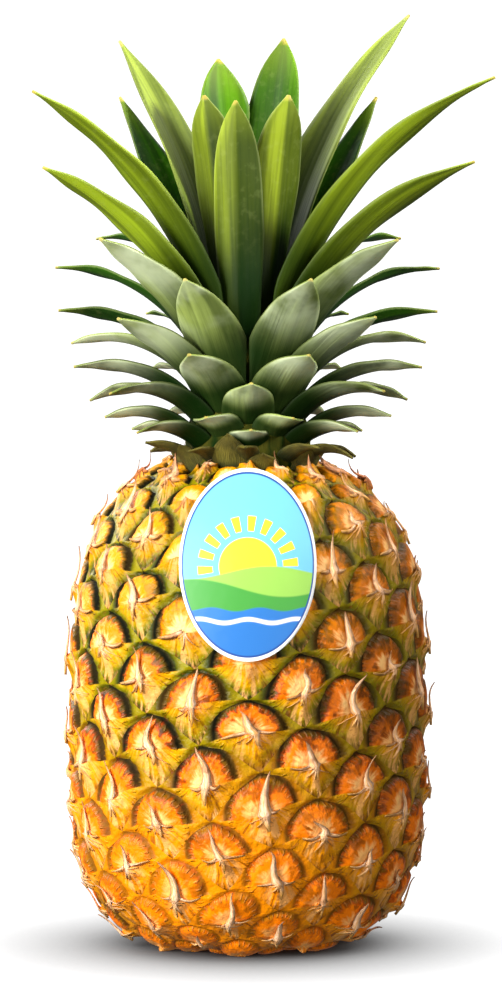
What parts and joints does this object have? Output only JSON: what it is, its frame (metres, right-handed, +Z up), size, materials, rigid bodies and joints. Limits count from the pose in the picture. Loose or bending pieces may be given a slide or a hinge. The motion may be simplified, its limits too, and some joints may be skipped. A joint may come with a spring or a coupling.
{
  "type": "pineapple",
  "caption": "Whole ripe pineapple standing on its base: a barrel-shaped fruit of spiralling spiny eyes, a crown of channelled leaves on a short stem and an oval paper label.",
  "frame": {"origin": "middle of the flat base the fruit stands on, on the fruit's axis", "axes": "+Z up along the fruit's axis towards the crown; the label faces -Y; +X is to the viewer's right"},
  "size_m": [0.1464, 0.1331, 0.3083],
  "materials": {
    "rind": "satin, waxy and rough",
    "stem": "matte, dry",
    "lower_leaves": "satin with a waxy bloom",
    "upper_leaves": "satin",
    "label": "coated, slightly glossy"
  },
  "bodies": {
    "root": {"fruit": "rind", "crown_stem": "stem", "label": "label", "leaf_01_a": "lower_leaves", "leaf_02_a": "lower_leaves", "leaf_02_b": "lower_leaves", "leaf_02_c": "lower_leaves", "leaf_02_d": "lower_leaves", "leaf_02_e": "lower_leaves", "leaf_03_a": "lower_leaves", "leaf_03_b": "lower_leaves", "leaf_04_a": "lower_leaves", "leaf_04_b": "lower_leaves", "leaf_04_c": "lower_leaves", "leaf_04_d": "lower_leaves", "leaf_05_a": "lower_leaves", "leaf_06_a": "lower_leaves", "leaf_06_b": "lower_leaves", "leaf_07_a": "lower_leaves", "leaf_07_b": "lower_leaves", "leaf_07_c": "lower_leaves", "leaf_08_a": "lower_leaves", "leaf_08_b": "lower_leaves", "leaf_09_a": "lower_leaves", "leaf_09_b": "lower_leaves", "leaf_09_c": "lower_leaves", "leaf_09_d": "lower_leaves", "leaf_10_a": "lower_leaves", "leaf_10_b": "lower_leaves", "leaf_11_a": "lower_leaves", "leaf_11_b": "lower_leaves", "leaf_11_c": "lower_leaves", "leaf_12_a": "lower_leaves", "leaf_12_b": "lower_leaves", "leaf_13_a": "lower_leaves", "leaf_13_b": "lower_leaves", "leaf_13_c": "lower_leaves", "leaf_13_d": "lower_leaves", "leaf_14_a": "upper_leaves", "leaf_14_b": "upper_leaves", "leaf_15_a": "upper_leaves", "leaf_15_b": "upper_leaves", "leaf_15_c": "upper_leaves", "leaf_16_a": "upper_leaves", "leaf_17_a": "upper_leaves", "leaf_18_a": "upper_leaves", "leaf_18_b": "upper_leaves", "leaf_19_a": "upper_leaves", "leaf_20_a": "upper_leaves", "leaf_21_a": "upper_leaves", "leaf_21_b": "upper_leaves", "leaf_21_c": "upper_leaves", "leaf_22_a": "upper_leaves", "leaf_23_a": "upper_leaves", "leaf_24_a": "upper_leaves", "leaf_25_a": "upper_leaves", "leaf_25_b": "upper_leaves", "leaf_26_a": "upper_leaves", "leaf_27_a": "upper_leaves"}
  },
  "joints": []
}
